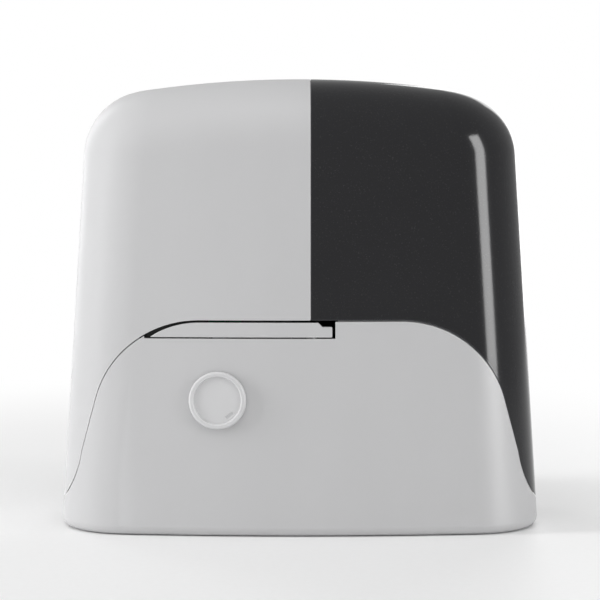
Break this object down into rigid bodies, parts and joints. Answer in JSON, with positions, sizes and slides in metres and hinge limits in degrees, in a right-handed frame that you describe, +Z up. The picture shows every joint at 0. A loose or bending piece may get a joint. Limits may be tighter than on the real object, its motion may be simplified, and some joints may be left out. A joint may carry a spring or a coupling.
{
  "type": "sliding gate motor",
  "caption": "Upright floor-mounted gate drive: arched pale base, lift-off two-tone cover with light strip, rack pinion at the back, keyed release lever.",
  "frame": {"origin": "centre of the base's bottom face, on the ground", "axes": "+Z up, +X along the body towards the dark end, -Y the front with the release lever, +Y the back with the pinion"},
  "size_m": [0.3022, 0.1917, 0.28],
  "materials": {
    "pale_plastic": "satin moulded, pale grey",
    "dark_plastic": "polished charcoal",
    "panel_plastic": "polished charcoal",
    "lens": "frosted, lit from behind",
    "guard_plastic": "satin moulded, light grey",
    "zinc": "bright zinc plated",
    "gear_steel": "cut steel, oiled",
    "steel": "ground",
    "cast_alloy": "die cast",
    "bronze": "turned",
    "rubber": "matt",
    "black_plastic": "matt moulded",
    "beige_plastic": "matt moulded",
    "green_board": "lacquered",
    "copper": "wound wire",
    "motor_paint": "satin black"
  },
  "bodies": {
    "base": {"base_shell": "pale_plastic", "chassis": "cast_alloy", "shell_screws": "zinc", "gearbox_housing": "cast_alloy", "gearbox_lid": "cast_alloy", "lid_screws": "zinc", "gearbox_bolts": "zinc", "front_bearing": "steel", "rear_bearing": "steel", "output_flange": "zinc", "shaft_seal": "rubber", "pinion_guard": "guard_plastic", "guard_screws": "zinc", "release_bracket": "zinc", "lock_body": "zinc", "lock_nut": "zinc", "limit_housing": "black_plastic", "microswitches": "black_plastic", "limit_lid": "black_plastic", "worm_bearings": "steel", "motor_can": "motor_paint", "motor_end_cap": "motor_paint", "board_tray": "black_plastic", "control_board": "green_board", "board_posts": "zinc", "terminal_blocks": "green_board", "relays": "black_plastic", "capacitor": "black_plastic", "display_window": "black_plastic", "transformer_core": "steel", "transformer_coil": "copper", "transformer_strap": "zinc"},
    "output": {"output_shaft": "steel", "worm_wheel": "bronze", "pinion": "gear_steel", "shaft_key": "steel", "pinion_washer": "zinc", "pinion_screw": "zinc"},
    "clutch": {"push_rod": "steel", "clutch_pin": "steel", "clutch_sleeve": "steel"},
    "worm": {"worm_shaft": "steel", "rotor": "steel", "encoder_disc": "black_plastic"},
    "lever": {"release_lever": "pale_plastic", "release_shaft": "steel", "release_cam": "steel"},
    "lock_core": {"lock_plug": "zinc", "lock_cam": "zinc"},
    "cap": {"lock_cap": "pale_plastic"},
    "limit_arm": {"limit_rod": "zinc", "limit_rod_tip": "steel"},
    "cover": {"cover_light": "pale_plastic", "cover_dark": "dark_plastic", "seam_screws": "zinc", "light_panel": "panel_plastic", "light_lens": "lens", "led_strip": "green_board", "cover_clips": "beige_plastic"}
  },
  "joints": [
    {"name": "worm_turn", "type": "hinge", "parent": "base", "child": "worm", "pos_m": [0.059, 0, 0.06], "axis": [0, 0, 1], "continuous": true},
    {"name": "output_turn", "type": "hinge", "parent": "base", "child": "output", "pos_m": [0.007, 0, 0.057], "axis": [0, 1, 0], "continuous": true},
    {"name": "clutch_slide", "type": "slide", "parent": "output", "child": "clutch", "axis": [0, 1, 0], "range_m": [0, 0.006]},
    {"name": "lever_turn", "type": "hinge", "parent": "base", "child": "lever", "pos_m": [0.007, -0.0645, 0.125], "axis": [0, 0, 1], "range_deg": [0, 90]},
    {"name": "lock_turn", "type": "hinge", "parent": "base", "child": "lock_core", "pos_m": [-0.05, -0.07, 0.0833], "axis": [0, 1, 0], "range_deg": [0, 90]},
    {"name": "cap_swing", "type": "hinge", "parent": "base", "child": "cap", "pos_m": [-0.05078, -0.07134, 0.09876], "axis": [0.0525, 0.9977, -0.0435], "range_deg": [0, 100]},
    {"name": "limit_swing", "type": "hinge", "parent": "base", "child": "limit_arm", "pos_m": [0.007, 0.046, 0.122], "axis": [0, 0, 1], "range_deg": [-25, 25], "stiffness_Nm_per_rad": 0.2},
    {"name": "cover_lift", "type": "slide", "parent": "base", "child": "cover", "axis": [0, 0, 1], "range_m": [0, 0.25]}
  ],
  "couplings": [
    {"joint": "output_turn", "follows": "worm_turn", "ratio": 0.038462},
    {"joint": "lever_turn", "follows": "clutch_slide", "rad_per_m": 261.8}
  ]
}
